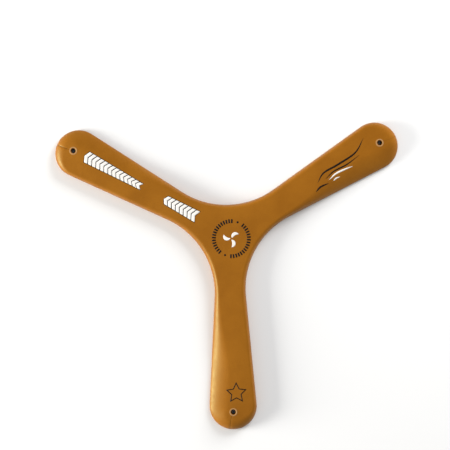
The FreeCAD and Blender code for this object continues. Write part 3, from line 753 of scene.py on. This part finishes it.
# %% [markdown]
# ## The white marks
#
# Two rows of chevrons point out along the arm, taller near both ends of the arm and lower in its
# middle. A chevron is two slanting patches that meet on the middle line. A thin dark border was
# printed under each row, and it is one long chevron a little larger than the row.

# %% White marks and their dark border
PITCH, GAP, SWEEP = 3.7 * MM, 0.8 * MM, 2.2 * MM    # sweep: how far the middle leads the ends
TALL, SHORT = 9.6 * MM, 5.2 * MM
MARK_ASIDE = -0.8 * MM
BORDER = 0.45 * MM
ON_BORDER = 0.05 * MM                   # the white film stands this much above its border
NEAR_START, FAR_END = 31 * MM, REACH - 25.2 * MM
NEAR_COUNT, FAR_COUNT = 8, 14
ROWS = ((NEAR_START, NEAR_COUNT), (FAR_END - FAR_COUNT * PITCH, FAR_COUNT))
marked = on_arm("marked")


def half_tall(along):
    """Half a mark's height: tall near the hub and the tip, short between."""
    half_span = (FAR_END - NEAR_START) / 2
    share = abs(along - NEAR_START - half_span) / half_span
    return (SHORT + share * (TALL - SHORT)) / 2


def chevron(bm, start, end, edge=0.0):
    """Both slanting halves of a chevron between two places along the arm."""
    near_half, far_half = half_tall(start) + edge, half_tall(end) + edge
    for side in (-1, 1):
        def at(a, b):
            along = start - edge + a * (end - start + 2 * edge) + SWEEP * (0.5 - b)
            return marked(along, MARK_ASIDE + side * b * (near_half + a * (far_half - near_half)))
        add_patch(bm, at, (end - start, near_half))


marks, border = bmesh.new(), bmesh.new()
for row_start, count in ROWS:
    for number in range(count):
        mark_start = row_start + number * PITCH
        chevron(marks, mark_start, mark_start + PITCH - GAP)
    chevron(border, row_start, row_start + count * PITCH - GAP, BORDER)
print_piece("arm_marks_white", "white_arm_marks", white_ink, marks,
            above=INK_ABOVE + ON_BORDER)
print_piece("arm_marks_border", "mark_keyline", black_ink, border)

# %% [markdown]
# ## The flow strokes
#
# Long brush strokes sweep along the next arm, thin at both ends and fullest in the middle. A
# smooth line through a few points gives the middle of a stroke; a sine curve gives its width. The
# line is a Catmull-Rom curve, which passes through all its points, so the points can be read off
# a drawing.

# %% Strokes
STROKE_STEPS = 40
STROKE_END = 0.04                       # share of its width that a stroke keeps at its ends
FULLNESS = 0.75                         # below 1, a stroke keeps its width for longer
BLACK_STROKES = (
    (((75.5, -1.6), (67.0, 2.9), (53.0, 2.7), (36.0, 3.6), (24.0, 10.4)), 1.6),
    (((68.5, -2.3), (59.0, -0.3), (47.0, -1.1), (34.0, 0.2)), 1.2),
    (((80.5, -7.2), (75.0, -5.6), (67.5, -6.6)), 1.5),
)
WHITE_STROKES = (
    (((66.0, -4.3), (59.0, -2.9), (51.5, -3.5), (43.5, -4.9)), 1.5),
    (((63.5, -6.9), (60.5, -6.2), (57.0, -6.8)), 1.1),
)                                       # mm in from the arm's end, mm aside, and greatest width


def smooth_line(points, share):
    """A place on the smooth line through all the points, and its direction."""
    points = [points[0] * 2 - points[1]] + points + [points[-1] * 2 - points[-2]]
    where = min(share * (len(points) - 3), len(points) - 3 - 1e-9)
    first = int(where)
    t = where - first
    a, b, c, d = points[first:first + 4]
    place = (b * 2 + (c - a) * t + (a * 2 - b * 5 + c * 4 - d) * t ** 2
             + (b * 3 - a - c * 3 + d) * t ** 3) / 2
    way = ((c - a) + (a * 2 - b * 5 + c * 4 - d) * 2 * t + (b * 3 - a - c * 3 + d) * 3 * t ** 2)
    return place, way.normalized()


def stroke(bm, points, widest):
    on_stroke_arm = on_arm("stroke")
    line = [Vector((REACH - inset * MM, aside * MM)) for inset, aside in points]

    def at(a, b):
        place, way = smooth_line(line, a)
        swell = widest * MM / 2 * max(abs(math.sin(math.pi * a)) ** FULLNESS, STROKE_END)
        return on_stroke_arm(*(place + Vector((-way.y, way.x)) * (2 * b - 1) * swell))
    add_patch(bm, at, (STROKE_STEPS * CELL, 2 * CELL))


for name, node, slot, ink, strokes in (
    ("flow_strokes_black", "black_flow_strokes", "black_ink", black_ink, BLACK_STROKES),
    ("flow_strokes_white", "white_flow_strokes", "white_ink", white_ink, WHITE_STROKES),
):
    sweep = bmesh.new()
    for points, widest in strokes:
        stroke(sweep, points, widest)
    print_piece(name, node, ink, sweep)

# %% [markdown]
# ## The hub print
#
# Round the hub runs a ring of short upright bars with two dots between them, and a small pinwheel
# of three curved vanes stands inside. Both were printed slightly off the hub's centre, and their
# place is taken from the frame.

# %% Ring of bars
low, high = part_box("hub_bar_ring")
SEAL = Vector(((low.x + high.x) / 2, (low.y + high.y) / 2))
RING_OUTER = (high.x - low.x) / 2
BAR_LONG, BAR_WIDE, DOT = 3.2 * MM, 1.3 * MM, 1.7 * MM
BARS_EACH_SIDE, BAR_STEP, DOT_TURN = 17, 8.8, 67.5

ring = bmesh.new()
for half_turn in (0, 180):
    for number in range(BARS_EACH_SIDE):
        turn = DOT_TURN + half_turn + 90 + (number - (BARS_EACH_SIDE - 1) / 2) * BAR_STEP
        out = ray(math.radians(turn))
        across = Vector((-out.y, out.x))
        add_patch(ring, lambda a, b: SEAL + out * (RING_OUTER - a * BAR_LONG)
                  + across * (b - 0.5) * BAR_WIDE, (BAR_LONG, BAR_WIDE * 1.5))
    dot = SEAL + ray(math.radians(DOT_TURN + half_turn)) * (RING_OUTER - BAR_LONG / 2)

    def disc(a, b):
        """A square's points moved out onto a round dot."""
        square = Vector((2 * a - 1, 2 * b - 1))
        reach = max(abs(square.x), abs(square.y))
        return dot + (square.normalized() * reach if reach else square) * DOT / 2
    add_patch(ring, disc, (DOT * 2, DOT * 2))
print_piece("hub_ring", "hub_bar_ring", black_ink, ring)

# %% Pinwheel
VANE_REACH, VANE_WIDE = 7 * MM, 3.4 * MM
VANE_ROOT = 0.12 * VANE_REACH


def bow(start, end, rise, share):
    """A place on the arc from start to end that bulges by rise to the left."""
    half_chord = (end - start).length / 2
    radius = (half_chord ** 2 + rise ** 2) / (2 * rise)
    way = (end - start).normalized()
    left = Vector((-way.y, way.x))
    swing = math.atan2(half_chord, radius - rise)
    turn = swing * (2 * share - 1)
    centre = (start + end) / 2 + left * (rise - radius)
    return centre + left * radius * math.cos(turn) + way * radius * math.sin(turn)


pinwheel = bmesh.new()
for turn in ARM_TURNS.values():
    root, end = (SEAL + ray(math.radians(turn)) * r for r in (VANE_ROOT, VANE_REACH))
    add_patch(pinwheel, lambda a, b: bow(root, end, VANE_WIDE * (0.2 + 0.8 * b), a),
              (VANE_REACH * 1.4, VANE_WIDE))
print_piece("pinwheel_white", "hub_pinwheel", white_ink, pinwheel)

# %% [markdown]
# ## The star
#
# A fine five-pointed star is drawn near the end of the third arm. It is one closed line of even
# width: an outer star, the same star a little smaller, and ten patches between them.

# %% Star outline
low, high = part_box("star_outline")
STAR_POINT, STAR_NOTCH, STAR_LINE = 9 * MM, 4.45 * MM, 0.75 * MM
STAR_CENTRE = Vector(((low.x + high.x) / 2, high.y - STAR_POINT))


def star_corner(number, scale):
    reach = STAR_NOTCH if number % 2 else STAR_POINT
    return STAR_CENTRE + ray(math.radians(90 + number * 36)) * reach * scale


star = bmesh.new()
side_long = (star_corner(0, 1) - star_corner(1, 1)).length
side_off = STAR_POINT * STAR_NOTCH * math.sin(math.radians(36)) / side_long
inner_scale = 1 - STAR_LINE / side_off
for number in range(10):
    ends = [(star_corner(n, 1), star_corner(n, inner_scale)) for n in (number, number + 1)]
    add_patch(star, lambda a, b: ends[0][0].lerp(ends[1][0], a).lerp(
        ends[0][1].lerp(ends[1][1], a), b), (side_long, CELL))
print_piece("star_line", "star_outline", black_ink, star)
